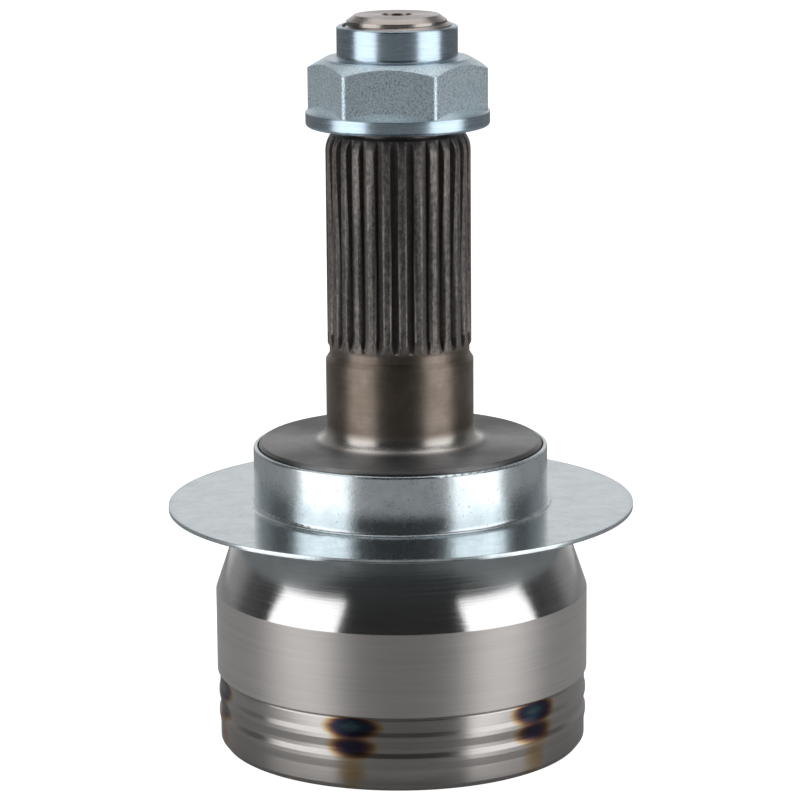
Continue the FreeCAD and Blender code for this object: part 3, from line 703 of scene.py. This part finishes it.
plated = Metal("zinc_nut", turned=0.6)
level = plated.height - NUT_BOTTOM
flat = plated.band(level, HEX_BOTTOM, HEX_TOP, 0.5) * plated.rise(plated.radius, HEX_INNER, HEX_INNER + 0.6)
salt = plated.noise(plated.x * 3.4, plated.y * 3.4, plated.height * 2.6, detail=2.0, rough=0.8)
tool = plated.noise(plated.height * 5.0, plated.radius * 5.0, plated.angle * 1.6, detail=3.0, rough=0.7)
haze = plated.noise(plated.x * 0.3, plated.y * 0.3, plated.height * 0.3, detail=3.0)
grained = plated.ramp(salt, [(0.34, NUT_DARK), (0.5, NUT_ZINC), (0.64, NUT_LIGHT)])
lined = plated.mix(plated.rise(tool, 0.25, 0.75), NUT_LINE_DARK, NUT_LINE_LIGHT)
plated.give("Base Color", plated.mix(flat, lined, grained))
plated.give("Roughness", 0.28 + flat * 0.12 + (tool - 0.5) * 0.1 + (haze - 0.5) * 0.08)
plated.give("Metallic", 1 - flat * 0.35)
plated.relief(tool * (1 - flat) * 0.35 + salt * flat * 2.2, NUT_RELIEF, NUT_EDGE)
dress("axle_nut", plated)

NUT_THREAD_OFFSET = 0.7
NUT_THREAD_TURNS = 12.5
NUT_THREAD_ROOT, NUT_THREAD_CREST = 1.1, 0.25

# The nut's ridge runs midway between two turns of the stub's ridge
pitches_up = round((NUT_BOTTOM + NUT_THREAD_OFFSET - THREAD_START) / THREAD_PITCH)
nut_thread = thread.make("nut_thread", {
    "Radius": NUT_BORE * MM, "Pitch": THREAD_PITCH * MM, "Turns": NUT_THREAD_TURNS,
    "Depth": (NUT_BORE - NUT_CREST) * MM, "Root Width": NUT_THREAD_ROOT * MM,
    "Crest Width": NUT_THREAD_CREST * MM,
    "Start Height": (THREAD_START + (pitches_up + 0.5) * THREAD_PITCH) * MM,
    "Steps": THREAD_STEPS, "Fade": THREAD_FADE, "Facing": -1.0})
finish_piece(nut_thread, plated, "axle_nut")


# ---------------------------------------------------------------- inner race, cage and snap ring
# The star and the cage are case-hardened steel, ground where the balls and spheres run, and wear a
# film of oil. The ring that holds the shaft is drawn spring wire, sprung into its groove.

STAR_STEEL, STAR_SHADE, STAR_ROUGHNESS = (0.46, 0.46, 0.47), (0.36, 0.355, 0.35), 0.24
CAGE_STEEL, CAGE_SHADE, CAGE_ROUGHNESS = (0.34, 0.34, 0.35), (0.24, 0.235, 0.23), 0.34
WIRE_STEEL, WIRE_SHADE, WIRE_ROUGHNESS = (0.28, 0.28, 0.30), (0.20, 0.20, 0.21), 0.30
GROUND_RELIEF, GROUND_EDGE = 0.004, 0.2


def ground(name, colour, shade, roughness):
    """Fine grinding lines round the axis, under a thin uneven film of oil."""
    made = Metal(name, turned=0.6)
    lines = made.noise(made.height * 4.0, made.radius * 4.0, made.angle * 0.8, detail=3.0)
    film = made.noise(made.x * 0.12, made.y * 0.12, made.height * 0.12, detail=4.0)
    shaded = made.rise(film, 0.3, 0.7) * 0.7 + (lines - 0.5) * 0.5
    made.give("Base Color", made.mix(shaded, colour, shade))
    made.give("Roughness", roughness + (film - 0.5) * 0.12 + (lines - 0.5) * 0.08)
    made.relief(lines, GROUND_RELIEF, GROUND_EDGE)
    return made


dress("inner_race", ground("ground_steel", STAR_STEEL, STAR_SHADE, STAR_ROUGHNESS))
dress("cage", ground("cage_steel", CAGE_STEEL, CAGE_SHADE, CAGE_ROUGHNESS))
dress("snap_ring", ground("spring_steel", WIRE_STEEL, WIRE_SHADE, WIRE_ROUGHNESS))


# ---------------------------------------------------------------- balls
# Six balls of through-hardened bearing steel, lapped to a mirror, one in each window of the cage.
# A thin veil of oil dulls them here and there.

BALL_STEEL = (0.80, 0.80, 0.82)
BALL_SHADE = (0.70, 0.70, 0.71)

lapped = Metal("ball_steel")
veil = lapped.noise(lapped.x * 0.3, lapped.y * 0.3, lapped.height * 0.3, detail=4.0)
lapped.give("Base Color", lapped.mix(veil, BALL_STEEL, BALL_SHADE))
lapped.give("Roughness", 0.05 + lapped.rise(veil, 0.45, 0.8) * 0.10)
for number in range(1, TRACKS + 1):
    dress(f"ball_{number}", lapped)
